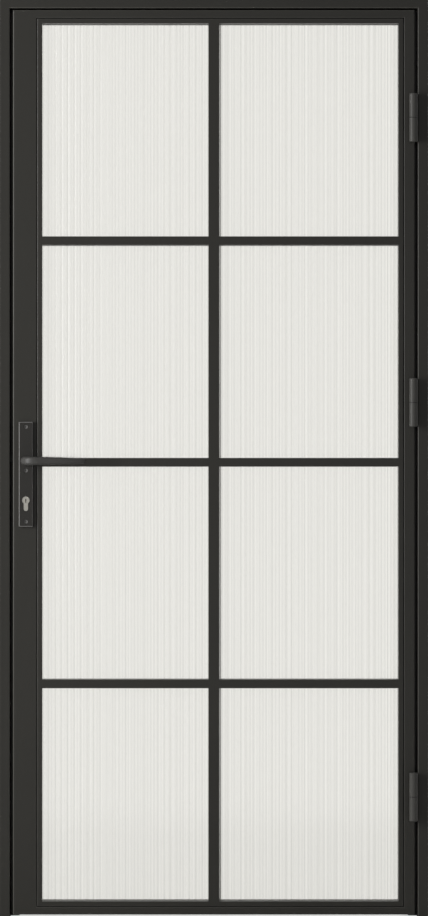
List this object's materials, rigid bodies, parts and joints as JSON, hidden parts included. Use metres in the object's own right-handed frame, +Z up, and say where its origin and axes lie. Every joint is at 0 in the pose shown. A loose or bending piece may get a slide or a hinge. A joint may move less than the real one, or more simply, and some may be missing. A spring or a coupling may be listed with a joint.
{
  "type": "glass door",
  "caption": "Glazed metal door with reeded glass panes, hung on barrel hinges in its own frame, with lever handles, a latch and a cylinder lock.",
  "frame": {"origin": "floor level, middle of the frame's width and middle of the leaf's thickness", "axes": "+X towards the hinge side, -Y towards the side the leaf opens to, +Z up"},
  "size_m": [0.985, 0.1722, 2.11],
  "materials": {
    "black_powder_coat": "fine matt powder coat",
    "reeded_glass": "reeded on the front face, slightly frosted",
    "seal_rubber": "matt",
    "glazing_tape": "matt foam",
    "lock_steel": "zinc-plated",
    "satin_nickel": "satin nickel",
    "black_hardware": "smooth matt black",
    "setting_plastic": "moulded",
    "zinc_screws": "zinc-plated"
  },
  "bodies": {
    "frame": {"hinge_jamb": "black_powder_coat", "lock_jamb": "black_powder_coat", "frame_head": "black_powder_coat", "seal_hinge_side": "seal_rubber", "seal_lock_side": "seal_rubber", "seal_head": "seal_rubber", "strike_plate": "lock_steel", "strike_screws": "zinc_screws", "frame_wing_screws": "zinc_screws", "hinge_pins": "black_hardware", "hinge_washers": "lock_steel", "frame_knuckles": "black_hardware", "hinge_stop": "black_powder_coat", "lock_stop": "black_powder_coat", "head_stop": "black_powder_coat"},
    "leaf": {"lock_stile": "black_powder_coat", "hinge_stile": "black_powder_coat", "top_rail": "black_powder_coat", "bottom_rail": "black_powder_coat", "front_bead_lock": "black_powder_coat", "front_bead_hinge": "black_powder_coat", "front_bead_top": "black_powder_coat", "front_bead_bottom": "black_powder_coat", "front_centre_bar": "black_powder_coat", "front_cross_bars": "black_powder_coat", "rear_bead_lock": "black_powder_coat", "rear_bead_hinge": "black_powder_coat", "rear_bead_top": "black_powder_coat", "rear_bead_bottom": "black_powder_coat", "rear_centre_bar": "black_powder_coat", "rear_cross_bars": "black_powder_coat", "bead_screws": "black_hardware", "glass_pane": "reeded_glass", "front_glazing_tape": "glazing_tape", "rear_glazing_tape": "glazing_tape", "setting_blocks": "setting_plastic", "leaf_hinge_caps": "black_hardware", "leaf_wing_screws": "zinc_screws", "leaf_knuckles": "black_hardware", "lock_case": "lock_steel", "lock_forend": "lock_steel", "forend_screws": "zinc_screws", "cylinder_body": "satin_nickel", "cylinder_screw": "zinc_screws", "front_backplate": "black_hardware", "rear_backplate": "black_hardware", "backplate_bolts": "black_hardware", "backplate_sleeves": "black_hardware"},
    "lever_set": {"lever_front": "black_hardware", "lever_rear": "black_hardware", "spindle": "lock_steel", "lever_grub_screws": "black_hardware", "follower": "lock_steel"},
    "latch": {"latch_bolt": "satin_nickel"},
    "dead_bolt": {"dead_bolt": "satin_nickel"},
    "cylinder_core": {"cylinder_plug_front": "satin_nickel", "cylinder_cam": "lock_steel"},
    "rear_plug": {"cylinder_plug_rear": "satin_nickel"}
  },
  "joints": [
    {"name": "leaf_swing", "type": "hinge", "parent": "frame", "child": "leaf", "pos_m": [0.4575, -0.0305, 1], "axis": [0, 0, 1], "range_deg": [0, 175]},
    {"name": "lever_turn", "type": "hinge", "parent": "leaf", "child": "lever_set", "pos_m": [-0.4305, 0, 1.047], "axis": [0, 1, 0], "range_deg": [0, 45], "stiffness_Nm_per_rad": 2, "springref_deg": -22.92},
    {"name": "latch_slide", "type": "slide", "parent": "leaf", "child": "latch", "axis": [1, 0, 0], "range_m": [0, 0.006]},
    {"name": "core_turn", "type": "hinge", "parent": "leaf", "child": "cylinder_core", "pos_m": [-0.4305, 0, 0.957], "axis": [0, 1, 0], "range_deg": [0, 360]},
    {"name": "bolt_slide", "type": "slide", "parent": "leaf", "child": "dead_bolt", "axis": [-1, 0, 0], "range_m": [0, 0.02]},
    {"name": "rear_plug_turn", "type": "hinge", "parent": "leaf", "child": "rear_plug", "pos_m": [-0.4305, 0, 0.957], "axis": [0, 1, 0], "range_deg": [0, 360]}
  ],
  "couplings": [
    {"joint": "latch_slide", "follows": "lever_turn", "m_per_rad": 0.007639},
    {"joint": "core_turn", "follows": "bolt_slide", "rad_per_m": 314.1}
  ]
}
